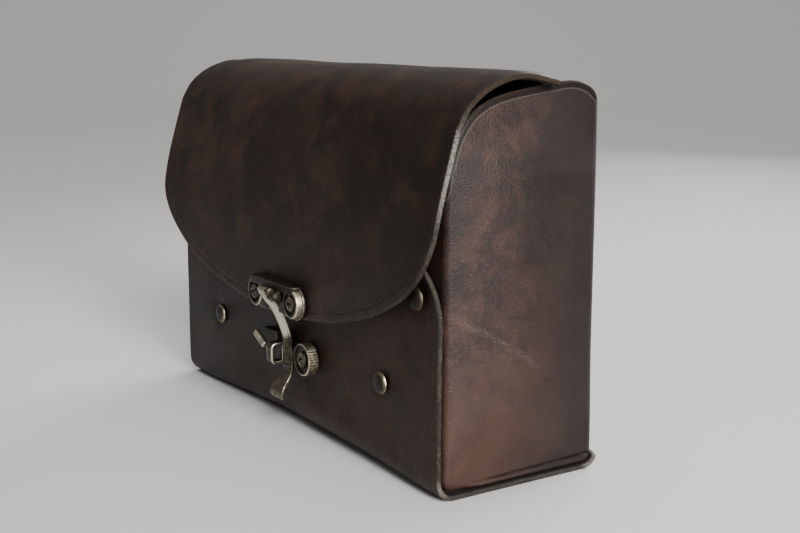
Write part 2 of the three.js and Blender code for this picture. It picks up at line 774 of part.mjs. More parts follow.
const bodyHoles = [...rivetHoles, ...upperScrewHoles, lowerScrewHole, ...loopHoles];
addPiece('body_wrap', cut(makeBodyWrap(), bodyHoles), leatherBrown);

for (const { side, sign } of sides) {
  addPiece(`gusset_${side}`, cut(makeGusset(sign), rivetHoles), leatherBrown);
}

for (const { row, x, z, layers } of FRONT_RIVETS) {
  for (const { side, sign } of sides) {
    const stack = layers * LEATHER + (layers - 1) * GAP;
    const rivet = makeRivet(stack);
    rivet.translate(sign * x, dish(x, z), z);
    addPiece(`rivet_${row}_${side}`, solid(rivet), antiqueBrass);
  }
}

addPiece('clasp_plate', makeClaspPlate(), antiqueBrass);
addPiece('clasp_pin', makeClaspPin(), antiqueBrass);
addPiece('clasp_hook', makeClaspHook(), antiqueBrass);
addPiece('staple_plate', makeStaplePlate(), antiqueBrass);

const upperSeat = HOUSING.front + HOUSING_RECESS.depth - GAP;
const upperNut = FLAP_HANG_Y + LEATHER + GAP;
for (const { side, sign } of sides) {
  const screw = makeScrew(sign * UPPER_SCREW_X, PLATE_Z, upperSeat, upperNut);
  addPiece(`screw_upper_${side}`, screw, antiqueBrass);
}
const lowerSeat = DRUM.front + DRUM_RECESS.depth - GAP;
const lowerNut = dish(DRUM.x, STAPLE_Z) + LEATHER + GAP;
addPiece('screw_lower', makeScrew(DRUM.x, STAPLE_Z, lowerSeat, lowerNut), antiqueBrass);

for (const { side, sign } of sides) {
  const loop = solid(profileSlab(loopShape(), LOOP_WIDTH / 2, sign * LOOP_X));
  addPiece(`belt_loop_${side}`, cut(loop, loopHoles), leatherBrown);
  loopRivetHeights.forEach((z, n) => {
    const rivet = makeRivet(loopRivetReach);
    rivet.rotateZ(Math.PI);
    rivet.translate(sign * LOOP_X, DEPTH + LEATHER + GAP, z);
    const level = n === 0 ? 'top' : 'low';
    addPiece(`loop_rivet_${level}_${side}`, solid(rivet), antiqueBrass);
  });
}

// The origin is under the middle of the bag
const reach = new THREE.Box3().setFromObject(bag);
bag.position.set(-(reach.min.x + reach.max.x) / 2, -(reach.min.y + reach.max.y) / 2, -reach.min.z);
bag.updateMatrixWorld(true);

export default bag;
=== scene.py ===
import bpy
import bmesh
import math
import numpy as np
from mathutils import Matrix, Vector, kdtree, noise


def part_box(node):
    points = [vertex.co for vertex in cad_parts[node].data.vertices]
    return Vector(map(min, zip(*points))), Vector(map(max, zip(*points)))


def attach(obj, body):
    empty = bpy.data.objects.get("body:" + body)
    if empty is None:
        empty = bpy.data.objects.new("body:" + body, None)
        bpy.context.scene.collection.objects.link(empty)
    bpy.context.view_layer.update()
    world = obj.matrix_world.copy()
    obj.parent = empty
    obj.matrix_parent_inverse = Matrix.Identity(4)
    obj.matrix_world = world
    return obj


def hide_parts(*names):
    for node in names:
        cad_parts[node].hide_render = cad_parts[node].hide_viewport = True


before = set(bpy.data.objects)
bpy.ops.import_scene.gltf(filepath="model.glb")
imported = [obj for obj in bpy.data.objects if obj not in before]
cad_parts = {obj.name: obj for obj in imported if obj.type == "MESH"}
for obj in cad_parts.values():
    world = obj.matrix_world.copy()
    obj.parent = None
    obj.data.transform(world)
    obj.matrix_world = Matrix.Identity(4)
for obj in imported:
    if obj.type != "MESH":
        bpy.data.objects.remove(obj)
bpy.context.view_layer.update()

# Body strip: one length of dark brown waxed leather, 2.5 mm thick, that runs from the front panel
# under the bag, up the back and over the top into the flap. Its cut edges are burnished, and a line
# is creased along them. Sizes are in millimetres, with y from the front panel to the back.
MM = 0.001
LEATHER, SKIVED, RIM = 2.5, 1.8, 0.7
DEPTH, HALF_WIDTH, BACK_HALF_WIDTH, FLAP_HALF_WIDTH = 71, 100, 90, 106
FRONT_BEND, FRONT_BEND_GAIN, BACK_BEND = 7, 6, 7
FRONT_CORNER_Z, FRONT_CORNER = 59, 23
BACK_TOP, FLAP_FALL_Z, FLAP_CORNER_Z = 110, 124.6, 92
HEM_FALL, HEM_LEAN, HEM_Y = 45.5, 2.2, -5
SLACK_REACH, DISH, DENT, DENT_START = 80, 0.8, 0.5, 4.2
SHOULDER_Y, SHOULDER_RUN, SHOULDER_DROOP = 46.5, 2.5, 2.2
COLUMNS_ACROSS, RIDGE_STEPS = 129, 400
MIDDLE_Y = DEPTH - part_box("body_wrap")[1][1] / MM
RIVETS = [(87.4, 68.0), (64.7, 33.7)]


def ease(t):
    t = np.clip(t, 0, 1)
    return t * t * (3 - 2 * t)


def mix(a, b, t):
    return a + (b - a) * t


# Points at even steps along a smooth line through the given ones
def smooth_line(points, count):
    p = np.array(points, float)
    p = np.vstack([p[:1], p, p[-1:]])
    t = np.linspace(0, 1, 40, endpoint=False)[:, None]
    dense = []
    for a, b, c, d in zip(p, p[1:], p[2:], p[3:]):
        leave, arrive = (c - a) / 2, (d - b) / 2
        dense.append((2 * b - 2 * c + leave + arrive) * t**3
                     + (3 * c - 3 * b - 2 * leave - arrive) * t**2 + leave * t + b)
    dense = np.vstack(dense + [p[-1:]])
    run = np.concatenate([[0], np.cumsum(np.linalg.norm(np.diff(dense, axis=0), axis=1))])
    even = np.linspace(0, run[-1], count)
    return np.stack([np.interp(even, run, column) for column in dense.T], axis=1)


# The line over the top, in y and z, from the back to where the flap begins to fall
ridge = smooth_line([(DEPTH, BACK_TOP), (70.2, 122), (66.6, 130), (61, 134.6), (54, 137.6), (46, 140.6),
                     (39, 141.8), (32, 142), (23, 140.7), (14, 137.3), (7, 131.8), (2.6, FLAP_FALL_Z)],
                    RIDGE_STEPS)
ridge_share = np.linspace(0, 1, RIDGE_STEPS)
ridge_length = np.linalg.norm(np.diff(ridge, axis=0), axis=1).sum()
shoulder_start = float(np.interp(-SHOULDER_Y, -ridge[:, 0], ridge_share))
shoulder_end = shoulder_start + SHOULDER_RUN / ridge_length


# How much the leather gives, which is most in the middle
def slack(x):
    return np.maximum(0, 1 - (x / SLACK_REACH) ** 2)


def dish(x, z):
    return DISH * slack(x) ** 1.5 * ease(z / 20)


def front_bend(x):
    return FRONT_BEND + FRONT_BEND_GAIN * slack(x)


# Each stretch of the strip gives y and z for points x across it, at a share f of its length
def front_panel(x, f):
    into = np.maximum(0, np.abs(x) - (HALF_WIDTH - FRONT_CORNER))
    top = FRONT_CORNER_Z + np.sqrt(np.maximum(0, (FRONT_CORNER - RIM) ** 2 - into**2))
    z = mix(top, front_bend(x), f)
    return dish(x, z), z


def front_turn(x, f):
    radius = front_bend(x)
    z = radius * (1 - math.sin(f * math.pi / 2))
    return radius * (1 - math.cos(f * math.pi / 2)) + dish(x, z), z


def bottom(x, f):
    return mix(front_bend(x), DEPTH - BACK_BEND, f), 0 * x


def back_turn(x, f):
    y = DEPTH - BACK_BEND * (1 - math.sin(f * math.pi / 2))
    return y + 0 * x, BACK_BEND * (1 - math.cos(f * math.pi / 2)) + 0 * x


def back_panel(x, f):
    return DEPTH + 0 * x, mix(BACK_BEND, BACK_TOP, f) + 0 * x


def over_top(start, end):
    def at(x, f):
        y, z = (np.interp(mix(start, end, f), ridge_share, column) for column in ridge.T)
        return y + 0 * x, z + 0 * x
    return at


def flap(x, f):
    across = x / (FLAP_HALF_WIDTH - RIM)
    hem = FLAP_CORNER_Z - (HEM_FALL - RIM) * np.sqrt(np.maximum(0, 1 - across**2)) + HEM_LEAN * across
    z = mix(FLAP_FALL_Z, hem, f)
    fall = np.maximum(0, z - 60) / (FLAP_FALL_Z - 60)
    return HEM_Y + 7.6 * fall**2.6 - 3.4 * across**2 * ease((122 - z) / 42), z


def same(width):
    return lambda f: width


stretches = [
    (44, front_panel, same(HALF_WIDTH)),
    (14, front_turn, same(HALF_WIDTH)),
    (26, bottom, same(HALF_WIDTH)),
    (18, back_turn, lambda f: mix(HALF_WIDTH, BACK_HALF_WIDTH, ease((f - 0.62) / 0.38))),
    (36, back_panel, same(BACK_HALF_WIDTH)),
    (26, over_top(0, shoulder_start), same(BACK_HALF_WIDTH)),
    (6, over_top(shoulder_start, shoulder_end), lambda f: mix(BACK_HALF_WIDTH, FLAP_HALF_WIDTH, ease(f))),
    (36, over_top(shoulder_end, 1), same(FLAP_HALF_WIDTH)),
    (58, flap, same(FLAP_HALF_WIDTH)),
]
lean = np.sin(np.linspace(-math.pi / 2, math.pi / 2, COLUMNS_ACROSS))
strip = []
for n, (rows, at, half_width) in enumerate(stretches):
    for f in np.linspace(0, 1, rows + 1)[0 if n == 0 else 1:]:
        x = (half_width(f) - RIM) * lean
        y, z = at(x, f)
        z = z - SHOULDER_DROOP * ease((np.abs(x) - 95) / 11) * ease((y - 24) / 22) * (z > 130)
        strip.append(np.stack([x, y, z], axis=1))
strip = np.array(strip)


def grid_faces(rows, columns):
    corner = (np.arange(rows - 1)[:, None] * columns + np.arange(columns - 1)).ravel()
    return np.stack([corner, corner + columns, corner + columns + 1, corner + 1], axis=1)


def grid_border(rows, columns):
    index = np.arange(rows * columns).reshape(rows, columns)
    return np.concatenate([index[0], index[1:, -1], index[-1, -2::-1], index[-2:0:-1, 0]])


def normals_of(points, faces):
    a, b, c, d = (points[faces[:, n]] for n in range(4))
    across = np.cross(c - a, d - b)
    total = np.zeros_like(points)
    for n in range(4):
        np.add.at(total, faces[:, n], across)
    return total / np.linalg.norm(total, axis=1, keepdims=True)


# Gentle unevenness: how far each point stands out, for waves of a size
def swell(points, size, height):
    return np.array([height * noise.noise(Vector(p) / size) for p in points])


# Cross-section of a burnished edge: share of the thickness, and how far it stands out in mm
EDGE = [(0.05, 0.3), (0.14, 0.52), (0.26, 0.62), (0.5, 0.58), (0.74, 0.62), (0.86, 0.52), (0.95, 0.3)]


# A leather wall: the grain side, the flesh side and a rounded edge along its border
def leather_wall(name, points, faces, border, materials, fold=None):
    up = normals_of(points, faces)
    rim = points[border]
    near = kdtree.KDTree(len(rim))
    for n, p in enumerate(rim):
        near.insert(p, n)
    near.balance()
    to_edge = np.array([near.find(p)[2] for p in points])
    flesh = points - mix(SKIVED, LEATHER, ease(to_edge / 6))[:, None] * up
    along = np.roll(rim, -1, axis=0) - np.roll(rim, 1, axis=0)
    out = np.cross(along, up[border])
    out /= np.linalg.norm(out, axis=1, keepdims=True)
    middles = np.zeros_like(points)
    touching = np.zeros(len(points))
    for n in range(4):
        np.add.at(middles, faces[:, n], points[faces].mean(axis=1))
        np.add.at(touching, faces[:, n], 1)
    inward = middles[border] / touching[border][:, None] - rim
    out *= -np.sign((out * inward).sum(axis=1, keepdims=True))
    rings = [border]
    cut = []
    count = 2 * len(points)
    for share, proud in EDGE:
        cut.append(rim + proud * out - share * SKIVED * up[border])
        rings.append(np.arange(len(border)) + count)
        count += len(border)
    rings.append(border + len(points))
    cut_faces = []
    for upper, lower in zip(rings, rings[1:]):
        cut_faces.append(np.stack([upper, np.roll(upper, -1), np.roll(lower, -1), lower], axis=1))
    everything = np.vstack([points, flesh] + cut)
    quads = np.vstack([faces, (faces + len(points))[:, ::-1]] + cut_faces)
    finish = np.repeat([0, 1, 2], [len(faces), len(faces), len(quads) - 2 * len(faces)])
    edge = np.concatenate([to_edge, to_edge, np.zeros(len(everything) - 2 * len(points))])
    mesh = bpy.data.meshes.new(name)
    corners = [list(dict.fromkeys(quad)) for quad in quads.tolist()]
    mesh.from_pydata(((everything - (0, MIDDLE_Y, 0)) * MM).tolist(), [], corners)
    mesh.polygons.foreach_set("material_index", finish)
    mesh.polygons.foreach_set("use_smooth", np.ones(len(quads), bool))
    mesh.attributes.new("edge", "FLOAT", "POINT").data.foreach_set("value", edge)
    if fold is not None:
        folded = np.zeros(len(everything))
        folded[:len(points)] = fold
        mesh.attributes.new("fold", "FLOAT", "POINT").data.foreach_set("value", folded)
    for material in materials:
        mesh.materials.append(material)
    piece = bpy.data.objects.new(name, mesh)
    bpy.context.collection.objects.link(piece)
    return piece


# A shader value: arithmetic on it adds Math nodes, and node() adds any other node
class Shade:
    def __init__(self, tree, socket=None):
        self.tree = tree
        self.socket = socket

    def node(self, kind, settings=None, inputs=None, out=0):
        node = self.tree.nodes.new(kind)
        for name, value in (settings or {}).items():
            if name == "stops":
                stops = node.color_ramp.elements
                while len(stops) < len(value):
                    stops.new(0.5)
                for stop, (position, colour) in zip(stops, value):
                    stop.position = position
                    stop.color = colour
            else:
                setattr(node, name, value)
        for name, value in (inputs or {}).items():
            if isinstance(value, Shade):
                self.tree.links.new(value.socket, node.inputs[name])
            else:
                node.inputs[name].default_value = value
        return Shade(self.tree, node.outputs[out]) if node.outputs else None

    def math(self, operation, a, b=0.0):
        return self.node("ShaderNodeMath", {"operation": operation}, {0: a, 1: b})

    def __add__(self, other):
        return self.math("ADD", self, other)

    def __sub__(self, other):
        return self.math("SUBTRACT", self, other)

    def __rsub__(self, other):
        return self.math("SUBTRACT", other, self)

    def __mul__(self, other):
        return self.math("MULTIPLY", self, other)

    def __abs__(self):
        return self.math("ABSOLUTE", self)

    __radd__ = __add__
    __rmul__ = __mul__

    def span(self, low, high):
        return self.node("ShaderNodeMapRange", {"interpolation_type": "SMOOTHSTEP"},
                         {"Value": self, "From Min": low, "From Max": high})

    def blend(self, factor, a, b):
        return self.node("ShaderNodeMix", {"data_type": "RGBA"}, {0: factor, 6: a, 7: b}, 2)

    def cloud(self, place, scale, detail=3, roughness=0.5, distortion=0):
        return self.node("ShaderNodeTexNoise", {}, {"Vector": place, "Scale": scale, "Detail": detail,
                                                    "Roughness": roughness, "Distortion": distortion})

    def stretched(self, place, by, turn=(0, 0, 0)):
        return self.node("ShaderNodeMapping", {}, {"Vector": place, "Scale": by, "Rotation": turn})


def finish_named(name):
    material = bpy.data.materials.new(name)
    material.use_nodes = True
    material.node_tree.nodes.clear()
    return material, Shade(material.node_tree)


def close_finish(shade, sockets):
    surface = shade.node("ShaderNodeBsdfPrincipled", {}, sockets)
    shade.node("ShaderNodeOutputMaterial", {}, {"Surface": surface})


# Waxed leather, with cloudy colour, a pebbled grain, short wrinkles, scratches and a creased edge line.
# A dark band runs along the cut edge, and the fold at a gusset's foot is darkened as painted shade. On the
# sides the dark band is wide and, with a pale line beyond it, paints the shade and highlight of a creased
# groove; there the colour also darkens towards the back as painted shade, and the right side has one long
# scuff.
def waxed_leather(name, browns, grain, wrinkle, crease, band, gloss, side_scuff_and_painted_light):
    dark, mid, warm = browns
    material, shade = finish_named(name)
    place = shade.node("ShaderNodeTexCoord", out="Object")
    edge = shade.node("ShaderNodeAttribute", {"attribute_name": "edge"}, out="Fac")
    fold = shade.node("ShaderNodeAttribute", {"attribute_name": "fold"}, out="Fac")
    drift = shade.cloud(place, 15, 4, 0.62, 0.4)
    mottle = shade.cloud(place, 75, 5, 0.7, 0.3)
    fleck = shade.cloud(place, 650, 4, 0.7)
    tone = (drift * 0.45 + mottle * 0.35 + fleck * 0.2).span(0.41, 0.59)
    patch = (shade.cloud(place, 24, 7, 0.74, 0.8) * 0.6 + mottle * 0.4).span(0.48, 0.66)
    hide = shade.blend(tone, dark, mid)
    hide = shade.blend(patch * 0.6, hide, warm)
    slant = (0.6, 0.68, -0.42)
    along = shade.node("ShaderNodeVectorMath", {"operation": "DOT_PRODUCT"}, {0: place, 1: slant}, "Value")
    pulled = shade.node("ShaderNodeVectorMath", {"operation": "SCALE"}, {0: slant, "Scale": along * -1180})
    streaky = shade.node("ShaderNodeVectorMath", {"operation": "MULTIPLY_ADD"},
                         {0: place, 1: (1200, 1200, 1200), 2: pulled})
    streak = shade.cloud(streaky, 1, 3, 0.6)
    scratch = streak.span(0.6, 0.72) * shade.cloud(place, 38, 4).span(0.47, 0.62)
    hide = shade.blend(scratch * 0.6, hide, (warm[0] * 1.7, warm[1] * 2, warm[2] * 2.2, 1))
    x, y, z = (shade.node("ShaderNodeSeparateXYZ", {}, {0: place}, axis) for axis in "XYZ")
    off_scuff = y * 0.523 + z * 0.852 - 0.0395 + (mottle - 0.5) * 0.006
    scuff_run = y.span(-0.0305, -0.026) * (1 - y.span(0.002, 0.016)) * x.span(0, 0.05) * side_scuff_and_painted_light
    scuff = (1 - abs(off_scuff).span(0.0001, 0.0016)) * scuff_run * (0.2 + streak.span(0.45, 0.65))
    hide = shade.blend(scuff * 0.5, hide, (0.13, 0.088, 0.07, 1))
    rubbed = (1 - edge.span(0.2, 2.4)) * shade.cloud(place, 240, 3).span(0.3, 0.7)
    hide = shade.blend(rubbed * 0.45, hide, warm)
    # Painted shade: on the sides the colour darkens towards the back
    hide = shade.blend(side_scuff_and_painted_light * y.span(-0.02, 0.034), hide, (dark[0] * 0.6, dark[1] * 0.6, dark[2] * 0.6, 1))
    # Dark band along the cut edge; on the sides it is wide, the painted shade of a creased groove
    dark_edge_band = 1 - edge.span(band - 0.25, band + 0.1)
    hide = shade.blend(dark_edge_band * 0.9, hide, (0.008, 0.0065, 0.0055, 1))
    # Painted highlight: a pale line on the groove's lip, on the sides only
    painted_lip_highlight = (1 - abs(edge - band - 0.3).span(0.1, 0.35)) * side_scuff_and_painted_light
    hide = shade.blend(painted_lip_highlight * 0.7, hide, (0.065, 0.05, 0.042, 1))
    # Painted shade in the crease at a gusset's foot and in the band below it
    hide = shade.blend(fold * 0.9, hide, (0.004, 0.003, 0.0025, 1))
    wander = shade.node("ShaderNodeTexNoise", {}, {"Vector": place, "Scale": 380, "Detail": 2}, 1)
    warp = shade.node("ShaderNodeVectorMath", {"operation": "MULTIPLY_ADD"},
                      {0: wander, 1: (0.0008, 0.0008, 0.0008), 2: place})
    pebble = shade.node("ShaderNodeTexVoronoi", {"feature": "SMOOTH_F1"},
                        {"Vector": warp, "Scale": 1750, "Smoothness": 0.3})
    fine = shade.cloud(place, 1900, 3, 0.7)
    folds = shade.cloud(shade.stretched(warp, (1100, 1100, 2600)), 1, 3, 0.6).span(0.32, 0.64)
    patchy = shade.cloud(place, 40, 3).span(0.35, 0.65)
    # Painted shade: darker in the wrinkle grooves and the pores
    pore_shade = pebble.span(0.3, 0.62) * 0.4 + (1 - fine.span(0.35, 0.6)) * 0.4
    hide = shade.blend(((1 - folds) * (0.3 + patchy * 0.2) + pore_shade) * wrinkle, hide, dark)
    line = (1 - abs(edge - 3.1).span(0.1, 0.5)) * crease
    surface = pebble * -grain + fine * 0.7 + folds * wrinkle * (0.4 + patchy * 0.6) + scratch * 0.4
    height = surface * (1 - dark_edge_band) - line * 2.4 - fold * 3
    bump = shade.node("ShaderNodeBump", {}, {"Strength": 0.6, "Distance": 0.0003, "Height": height})
    rough = 0.36 + mottle * 0.14 - tone * 0.06 + pebble * 0.08 - dark_edge_band * 0.1
    close_finish(shade, {"Base Color": hide, "Roughness": rough, "Normal": bump,
                         "Specular IOR Level": gloss})
    return material


# The flesh side is suede-like, tan and fibrous, and dark where edge dye has soaked in
def flesh_side():
    material, shade = finish_named("flesh_side")
    place = shade.node("ShaderNodeTexCoord", out="Object")
    fibre = shade.cloud(shade.stretched(place, (900, 2400, 900), (0.2, 0.4, 0.6)), 1, 4, 0.7)
    cloud = shade.cloud(place, 50, 4)
    pale = (fibre * 0.6 + cloud * 0.4).span(0.3, 0.7)
    colour = shade.blend(pale, (0.052, 0.027, 0.017, 1), (0.17, 0.095, 0.055, 1))
    edge = shade.node("ShaderNodeAttribute", {"attribute_name": "edge"}, out="Fac")
    colour = shade.blend(edge.span(2, 4.5), (0.011, 0.008, 0.006, 1), colour)
    bump = shade.node("ShaderNodeBump", {}, {"Strength": 0.6, "Distance": 0.0004, "Height": fibre})
    close_finish(shade, {"Base Color": colour, "Roughness": 0.85 - fibre * 0.1, "Normal": bump,
                         "Specular IOR Level": 0.2})
    return material


# Cut edges rubbed with wax until the layers close up: dark, a little glossy, grey where they are worn,
# raw brown over the top, with a painted silvery highlight down the flap's sides, and frayed to pale fibre
# at the bottom corners
def burnished_edge():
    material, shade = finish_named("burnished_edge")
    place = shade.node("ShaderNodeTexCoord", out="Object")
    wear = shade.cloud(place, 130, 5, 0.7).span(0.38, 0.68)
    grit = shade.cloud(place, 1500, 4, 0.7).span(0.3, 0.7)
    colour = shade.blend(wear * 0.5 + grit * 0.5, (0.006, 0.0047, 0.0035, 1), (0.05, 0.0425, 0.033, 1))
    specks = shade.cloud(place, 2300, 3, 0.6).span(0.6, 0.7)
    colour = shade.blend(specks * 0.7, colour, (0.27, 0.255, 0.225, 1))
    mirrored = shade.node("ShaderNodeVectorMath", {"operation": "ABSOLUTE"}, {0: place})
    aside = shade.node("ShaderNodeSeparateXYZ", {}, {0: mirrored}, "X")
    height = shade.node("ShaderNodeSeparateXYZ", {}, {0: mirrored}, "Z")
    raw = height.span(0.127, 0.134)
    bare_brown = shade.blend(grit, (0.009, 0.0055, 0.004, 1), (0.04, 0.023, 0.014, 1))
    colour = shade.blend(raw * 0.8, colour, bare_brown)
    # Painted highlight: a silvery glint down the flap's side edges, smoother there too
    painted_glint = aside.span(0.1035, 0.1045) * height.span(0.09, 0.108) * (1 - height.span(0.12, 0.128))
    colour = shade.blend(painted_glint * grit * 0.8, colour, (0.24, 0.23, 0.205, 1))
    away = shade.node("ShaderNodeVectorMath", {"operation": "DISTANCE"},
                      {0: mirrored, 1: (0.1, 0.035, 0.003)}, "Value")
    fray = (1 - (away + grit * 0.003).span(0.004, 0.008)) * (0.3 + grit * 0.7)
    colour = shade.blend(fray * 0.8, colour, (0.2, 0.18, 0.15, 1))
    bump = shade.node("ShaderNodeBump", {}, {"Strength": 0.7, "Distance": 0.0003,
                                             "Height": grit * (1 - painted_glint * 0.6) + wear * 0.6 + fray})
    close_finish(shade, {"Base Color": colour, "Roughness": 0.46 + grit * 0.2 + raw * 0.15 - painted_glint * 0.1,
                         "Normal": bump, "Specular IOR Level": 0.16})
    return material


strip_browns = ((0.007, 0.0035, 0.0022, 1), (0.03, 0.013, 0.007, 1), (0.072, 0.028, 0.0125, 1))
strip_leather = waxed_leather("strip_leather", strip_browns, grain=0.6, wrinkle=0.6, crease=0.7, band=0.2,
                              gloss=0.16, side_scuff_and_painted_light=0)
tan_flesh = flesh_side()
dark_edge = burnished_edge()

strip_points = strip.reshape(-1, 3)
strip_faces = grid_faces(*strip.shape[:2])
lift = swell(strip_points, 46, 0.55) + swell(strip_points, 19, 0.14)
for x, z in RIVETS:
    for side in (-1, 1):
        away = np.linalg.norm(strip_points - (side * x, dish(x, z), z), axis=1)
        lift -= DENT * np.exp(-(np.maximum(away - DENT_START, 0) / 2) ** 2)
held = ease(strip_points[:, 2] / 3) * ease((np.abs(strip_points[:, 1] - DEPTH)) / 3)
strip_points = strip_points + normals_of(strip_points, strip_faces) * (lift * held)[:, None]
body_strip = leather_wall("body_strip", strip_points, strip_faces, grid_border(*strip.shape[:2]),
                          [strip_leather, tan_flesh, dark_edge])
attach(body_strip, "bag")
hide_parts("body_wrap")

# Gussets: a side panel of the same leather at each end, wet-moulded over a form so that it folds
# into a flange behind the strip. The top edge is free and burnished.
LAYER_GAP = 0.3
FLANGE_IN, FLANGE_END, FLANGE_TOP = LEATHER + LAYER_GAP, 80.5, 92
GUSSET_OUT, GUSSET_BACK = 99.6, DEPTH - FLANGE_IN
SPINE_Y, SPINE_Z = DEPTH / 2, 40
CORNER = FRONT_BEND - FLANGE_IN
FRONT_FOLD, FOOT_FOLD, BACK_FOLD, PINCHED_FOLD = 2, 3, 4.5, 0.9
BULGE, PINCH = 4.2, 0.6
SIDES = ((-1, "left"), (1, "right"))
gusset_top = smooth_line([(2.8, 104), (4.2, 114), (7.5, 122.6), (13.5, 129.9), (22, 134.1), (33.5, 136.4),
                          (45, 137.8), (54, 138.7), (60.2, 137.5), (64.3, 135), (67.2, 130.5), (68.2, 118)],
                         RIDGE_STEPS)

# Stations round the panel, down the front, along the foot and up the back: where the fold starts in y and z,
# the way inward, how far up the free edge, and the radius of the fold
SIDE, TURN, BASE, FOLD, FACE = 64, 10, 40, 10, 44
stations = []
for n in range(SIDE, 0, -1):
    stations.append((FLANGE_IN, FRONT_BEND, (1, 0), n / SIDE, FRONT_FOLD))
for n in range(TURN + 1):
    a = n / TURN * math.pi / 2
    stations.append((FRONT_BEND - CORNER * math.cos(a), FRONT_BEND - CORNER * math.sin(a),
                     (math.cos(a), math.sin(a)), 0, mix(FRONT_FOLD, FOOT_FOLD, n / TURN)))
for n in range(1, BASE):
    stations.append((mix(FRONT_BEND, DEPTH - BACK_BEND, n / BASE), FLANGE_IN, (0, 1), 0, FOOT_FOLD))
for n in range(TURN + 1):
    a = (1 - n / TURN) * math.pi / 2
    stations.append((DEPTH - BACK_BEND + CORNER * math.cos(a), BACK_BEND - CORNER * math.sin(a),
                     (-math.cos(a), math.sin(a)), 0, FOOT_FOLD))
for n in range(1, SIDE + 1):
    stations.append((GUSSET_BACK, BACK_BEND, (-1, 0), n / SIDE,
                     mix(FOOT_FOLD, BACK_FOLD, ease(n / SIDE / 0.33))))


def foot_crease(y):
    return 4.5 + 1.3 * (y - 14) / 52


# One row of points, from the end of the flange through the fold to the middle of the panel
def gusset_row(y0, z0, inward, up, radius):
    row = []
    radius = mix(radius, PINCHED_FOLD, inward[1] * ease((y0 - 9) / 9) * ease((GUSSET_BACK + 1 - y0) / 5))
    for ring in range(2 + FOLD + FACE):
        fold = min(max((ring - 1) / FOLD, 0), 1) * math.pi / 2
        face = (max(0, ring - 1 - FOLD) / FACE) ** 1.5
        inset = radius - radius * math.cos(fold)
        y = mix(y0 + inward[0] * inset, SPINE_Y, face)
        z = mix(z0 + inward[1] * inset, SPINE_Z, face)
        top = FLANGE_TOP if ring == 0 else np.interp(y, gusset_top[:, 0], gusset_top[:, 1]) - RIM
        z = mix(z, top, up)
        across = (y - FLANGE_IN) / (GUSSET_BACK - FLANGE_IN)
        loose = float(ease(z / 30) * ease((137 - z) / 34))
        bulge = BULGE * math.sin(math.pi * max(across, 0) ** 0.88) * loose
        pinch = PINCH * math.exp(-((z - foot_crease(y)) / 0.6) ** 2) * float(ease((y - 11) / 12))
        x = GUSSET_OUT - radius + radius * math.sin(fold) + max(0, bulge) - pinch * (ring > FOLD)
        row.append((FLANGE_END if ring == 0 else x, y, z))
    return row


gusset_grid = np.array([gusset_row(*station) for station in stations])
gusset_faces = grid_faces(*gusset_grid.shape[:2])
rows, columns = gusset_grid.shape[:2]
index = np.arange(rows * columns).reshape(rows, columns)
gusset_border = np.concatenate([index[0], index[-1, -2::-1], index[-2:0:-1, 0]])

# The rows from the front and from the back meet on the middle line, where their last points are joined
flat_index = index.copy()
for n in range(rows):
    flat_index[n, -1] = index[min(n, rows - 1 - n), -1] if stations[n][3] > 0 else index[SIDE, -1]
merged = flat_index.ravel()[gusset_faces]
merged = [list(dict.fromkeys(quad)) for quad in merged.tolist()]
merged = np.array([corners + corners[-1:] * (4 - len(corners)) for corners in merged if len(corners) > 2])
kept = np.unique(merged)
place_of = np.zeros(rows * columns, int)
place_of[kept] = np.arange(len(kept))
gusset_points = gusset_grid.reshape(-1, 3)[kept]
# The crease at a gusset's foot: it dents the bump and is painted dark as shade, with a fainter painted shade
# below it
over_crease = gusset_points[:, 2] - foot_crease(gusset_points[:, 1])
crease_dent_and_shade = np.maximum(np.exp(-(over_crease / 0.4) ** 2), 0.3 * ease(0.5 - over_crease))
crease_dent_and_shade *= ease((gusset_points[:, 1] - 14) / 14)
gusset_faces = place_of[merged]
gusset_border = place_of[gusset_border]
# Lighter browns than the strip's, for the same leather: painted light on the sides
side_browns_painted_lighter = ((0.0115, 0.0056, 0.0042, 1), (0.052, 0.0242, 0.0165, 1), (0.078, 0.036, 0.0235, 1))
side_leather_painted_lighter = waxed_leather("side_leather_painted_lighter", side_browns_painted_lighter, grain=0.7, wrinkle=0.45, crease=0, band=1.7,
                             gloss=0.28, side_scuff_and_painted_light=0.95)
for side, name in SIDES:
    points = gusset_points * (side, 1, 1)
    faces = gusset_faces if side > 0 else gusset_faces[:, ::-1]
    gusset = leather_wall("gusset_panel_" + name, points, faces, gusset_border,
                          [side_leather_painted_lighter, tan_flesh, dark_edge], crease_dent_and_shade)
    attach(gusset, "bag")
    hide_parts("gusset_" + name)

# Front rivets: domed brass caps that join the front panel to the gussets, two at each end.
# The post goes through the leather and is set flat behind it.


# Faces between rings of points, one after the other
def ring_faces(rings, around):
    faces = []
    for start in range(0, (rings - 1) * around, around):
        for n in range(around):
            m = (n + 1) % around
            faces.append((start + n, start + m, start + around + m, start + around + n))
    return faces


# A shell turned about a line along y: radius, y and wear for each ring
def turned(profile, x, z, around=56, reed=lambda ring, angle: 1):
    points = []
    for ring, (radius, y, _) in enumerate(profile):
        for n in range(around):
            a = 2 * math.pi * n / around
            r = radius * reed(ring, a)
            points.append((x + r * math.cos(a), y, z + r * math.sin(a)))
    worn = [wear for _, _, wear in profile[:-1] for n in range(around)]
    return points, ring_faces(len(profile), around), worn


